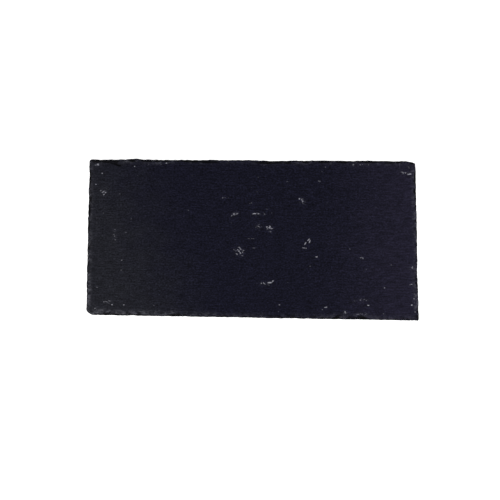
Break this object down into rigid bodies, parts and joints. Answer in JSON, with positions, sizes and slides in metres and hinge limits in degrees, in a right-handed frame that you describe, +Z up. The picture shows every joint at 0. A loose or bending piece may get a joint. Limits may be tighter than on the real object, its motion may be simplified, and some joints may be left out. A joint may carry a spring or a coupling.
{
  "type": "slate slab",
  "caption": "Thin rectangular slab of blue-black slate with a flat riven face and chipped, slightly bevelled edges; it lies flat on a table and serves or displays things.",
  "frame": {"origin": "middle of the slab's outline, on the plane of its flat underside", "axes": "+X along the long sides, to the right as the near side is faced; +Y from the near long side to the far one; +Z up, through the thickness"},
  "size_m": [0.3014, 0.147, 0.0057],
  "materials": {
    "slate": "matt riven slate, blue-black, with faint pale scuffs and a slightly paler chipped edge"
  },
  "bodies": {
    "root": {"slate_slab": "slate"}
  },
  "joints": []
}
